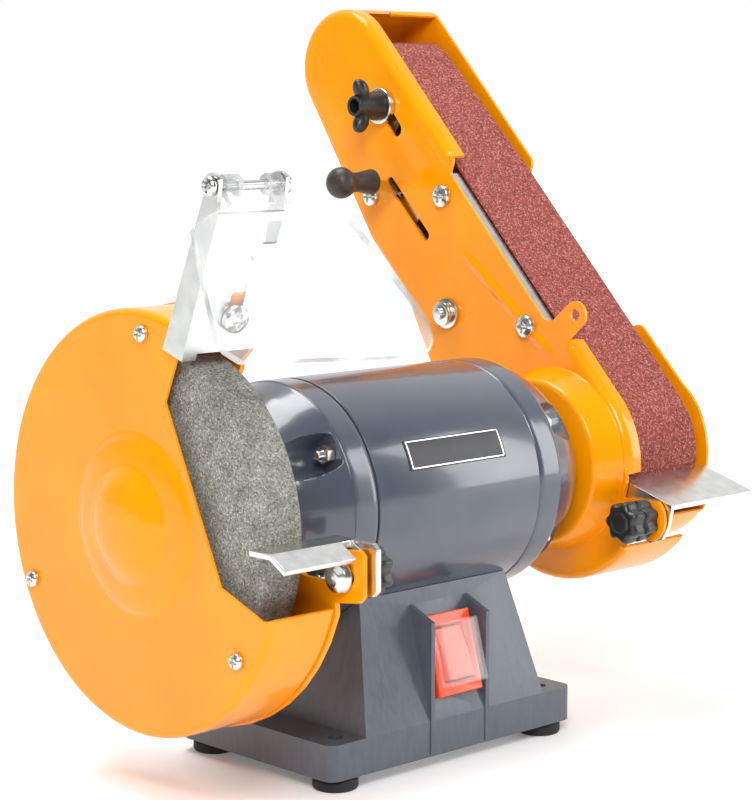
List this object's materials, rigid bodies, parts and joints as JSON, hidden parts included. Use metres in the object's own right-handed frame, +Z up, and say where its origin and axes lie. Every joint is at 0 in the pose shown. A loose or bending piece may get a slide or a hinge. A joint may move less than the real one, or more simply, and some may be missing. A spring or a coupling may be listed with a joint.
{
  "type": "bench grinder with belt sander",
  "caption": "Combined bench grinder: guarded grinding wheel with rest and eye shield on one side, tilting belt sander arm with tension lever and rest on the other.",
  "frame": {"origin": "middle of the bounding box's footprint, on the bench top", "axes": "+X along the motor spindle from the grinding wheel to the sander arm, -Y to the user, +Z up"},
  "size_m": [0.36, 0.2922, 0.3383],
  "materials": {
    "base_casting": "hammered grey paint, semi-gloss",
    "base_cover_plate": "dull zinc-grey sheet",
    "foot_front_left": "matt black rubber",
    "foot_back_left": "matt black rubber",
    "foot_front_right": "matt black rubber",
    "foot_back_right": "matt black rubber",
    "switch_body": "glossy orange-red plastic",
    "switch_boot": "clear soft dust cover",
    "capacitor": "black plastic can",
    "cable_inlet": "matt black rubber",
    "motor_shell": "glossy blue-grey enamel",
    "end_bell_right": "glossy blue-grey enamel",
    "end_bell_left": "glossy blue-grey enamel",
    "stator": null,
    "bearing_left": "machined steel",
    "bearing_right": "machined steel",
    "tie_bolt_1": "bright zinc-plated steel",
    "tie_bolt_2": "bright zinc-plated steel",
    "tie_bolt_3": "bright zinc-plated steel",
    "tie_bolt_4": "bright zinc-plated steel",
    "nameplate": "blank black plate, no marks",
    "guard_cover": "orange-yellow powder coat, semi-gloss",
    "guard_back_plate": "orange-yellow powder coat, semi-gloss",
    "guard_screw_1": "bright zinc-plated steel",
    "guard_screw_2": "bright zinc-plated steel",
    "guard_screw_3": "bright zinc-plated steel",
    "bracket_bolt": "bright zinc-plated steel",
    "spindle": "machined steel",
    "rotor": "machined steel",
    "grinding_wheel": "grey aluminium-oxide abrasive",
    "inner_flange": "machined steel",
    "outer_flange": "machined steel",
    "spindle_nut_left": "machined steel",
    "spindle_nut_right": "machined steel",
    "drive_drum": "turned aluminium drum",
    "sander_side_plate": "orange-yellow powder coat, semi-gloss",
    "sander_cover": "orange-yellow powder coat, semi-gloss",
    "sanding_belt": "brown-red abrasive cloth",
    "platen": "satin zinc-plated steel sheet",
    "platen_screw_1": "bright zinc-plated steel",
    "platen_screw_2": "bright zinc-plated steel",
    "yoke_bolt_low": "bright zinc-plated steel",
    "yoke_bolt_high": "bright zinc-plated steel",
    "belt_rest_bolt": "bright zinc-plated steel",
    "idler_yoke": "satin zinc-plated steel sheet",
    "idler_axle": "machined steel",
    "tension_lever": "satin zinc-plated steel sheet",
    "lever_grip": "black moulded plastic",
    "idler_roller": "black moulded roller",
    "tracking_knob": "black moulded plastic",
    "tool_rest_left": "satin zinc-plated steel sheet",
    "rest_bolt_left": "bright zinc-plated steel",
    "rest_knob_left": "black moulded plastic",
    "belt_rest": "satin zinc-plated steel sheet",
    "belt_rest_knob": "black moulded plastic",
    "shield_bracket": "satin zinc-plated steel sheet",
    "shield_hinge_pin": "bright zinc-plated steel",
    "eye_shield": "clear polycarbonate",
    "switch_rocker": "glossy orange-red plastic"
  },
  "bodies": {
    "base": {"base_casting": "base_casting", "base_cover_plate": "base_cover_plate", "foot_front_left": "foot_front_left", "foot_back_left": "foot_back_left", "foot_front_right": "foot_front_right", "foot_back_right": "foot_back_right", "switch_body": "switch_body", "switch_boot": "switch_boot", "capacitor": "capacitor", "cable_inlet": "cable_inlet", "motor_shell": "motor_shell", "end_bell_right": "end_bell_right", "end_bell_left": "end_bell_left", "stator": "stator", "bearing_left": "bearing_left", "bearing_right": "bearing_right", "tie_bolt_1": "tie_bolt_1", "tie_bolt_2": "tie_bolt_2", "tie_bolt_3": "tie_bolt_3", "tie_bolt_4": "tie_bolt_4", "nameplate": "nameplate", "guard_cover": "guard_cover", "guard_back_plate": "guard_back_plate", "guard_screw_1": "guard_screw_1", "guard_screw_2": "guard_screw_2", "guard_screw_3": "guard_screw_3", "bracket_bolt": "bracket_bolt"},
    "spindle_group": {"spindle": "spindle", "rotor": "rotor", "grinding_wheel": "grinding_wheel", "inner_flange": "inner_flange", "outer_flange": "outer_flange", "spindle_nut_left": "spindle_nut_left", "spindle_nut_right": "spindle_nut_right", "drive_drum": "drive_drum"},
    "sander_arm": {"sander_side_plate": "sander_side_plate", "sander_cover": "sander_cover", "sanding_belt": "sanding_belt", "platen": "platen", "platen_screw_1": "platen_screw_1", "platen_screw_2": "platen_screw_2", "yoke_bolt_low": "yoke_bolt_low", "yoke_bolt_high": "yoke_bolt_high", "belt_rest_bolt": "belt_rest_bolt"},
    "tensioner": {"idler_yoke": "idler_yoke", "idler_axle": "idler_axle", "tension_lever": "tension_lever", "lever_grip": "lever_grip"},
    "idler": {"idler_roller": "idler_roller"},
    "tracking_knob_body": {"tracking_knob": "tracking_knob"},
    "left_rest": {"tool_rest_left": "tool_rest_left", "rest_bolt_left": "rest_bolt_left"},
    "left_rest_knob": {"rest_knob_left": "rest_knob_left"},
    "belt_rest_body": {"belt_rest": "belt_rest"},
    "belt_rest_knob_body": {"belt_rest_knob": "belt_rest_knob"},
    "shield_bracket_body": {"shield_bracket": "shield_bracket", "shield_hinge_pin": "shield_hinge_pin"},
    "eye_shield_body": {"eye_shield": "eye_shield"},
    "switch_rocker_body": {"switch_rocker": "switch_rocker"}
  },
  "joints": [
    {"name": "spindle_spin", "type": "hinge", "parent": "base", "child": "spindle_group", "pos_m": [-0.006, -0.03805, 0.1185], "axis": [1, 0, 0], "continuous": true},
    {"name": "arm_tilt", "type": "hinge", "parent": "base", "child": "sander_arm", "pos_m": [0.111, -0.03805, 0.1185], "axis": [1, 0, 0], "range_deg": [-46.8, 43.2]},
    {"name": "tension_slide", "type": "slide", "parent": "sander_arm", "child": "tensioner", "axis": [0, 0.6845, 0.729], "range_m": [-0.013, 0], "stiffness_N_per_m": 400, "springref_m": 0.03},
    {"name": "idler_spin", "type": "hinge", "parent": "tensioner", "child": "idler", "pos_m": [0.144, 0.11195, 0.29796], "axis": [1, 0, 0], "continuous": true},
    {"name": "tracking_knob_turn", "type": "hinge", "parent": "tensioner", "child": "tracking_knob_body", "pos_m": [0.104, 0.08275, 0.28834], "axis": [1, 0, 0], "range_deg": [-180, 180]},
    {"name": "left_rest_slide", "type": "slide", "parent": "base", "child": "left_rest", "axis": [0, 1, 0], "range_m": [-0.003, 0.003]},
    {"name": "left_rest_knob_turn", "type": "hinge", "parent": "left_rest", "child": "left_rest_knob", "pos_m": [-0.096, -0.12725, 0.1056], "axis": [1, 0, 0], "range_deg": [-180, 180]},
    {"name": "belt_rest_slide", "type": "slide", "parent": "sander_arm", "child": "belt_rest_body", "axis": [0, -0.9578, -0.2875], "range_m": [-0.001, 0.008]},
    {"name": "belt_rest_knob_turn", "type": "hinge", "parent": "sander_arm", "child": "belt_rest_knob_body", "pos_m": [0.097, -0.09705, 0.0965], "axis": [1, 0, 0], "range_deg": [-180, 180]},
    {"name": "bracket_slide", "type": "slide", "parent": "base", "child": "shield_bracket_body", "axis": [0, -0.3714, 0.9285], "range_m": [-0.0025, 0]},
    {"name": "eye_shield_hinge", "type": "hinge", "parent": "shield_bracket_body", "child": "eye_shield_body", "pos_m": [-0.126, -0.09285, 0.2593], "axis": [1, 0, 0], "range_deg": [-75, 8]},
    {"name": "rocker_tilt", "type": "hinge", "parent": "base", "child": "switch_rocker_body", "pos_m": [-0.0048, -0.08359, 0.04902], "axis": [1, 0, 0], "range_deg": [0, 16]}
  ],
  "couplings": [
    {"joint": "idler_spin", "follows": "spindle_spin", "ratio": 1.729}
  ]
}
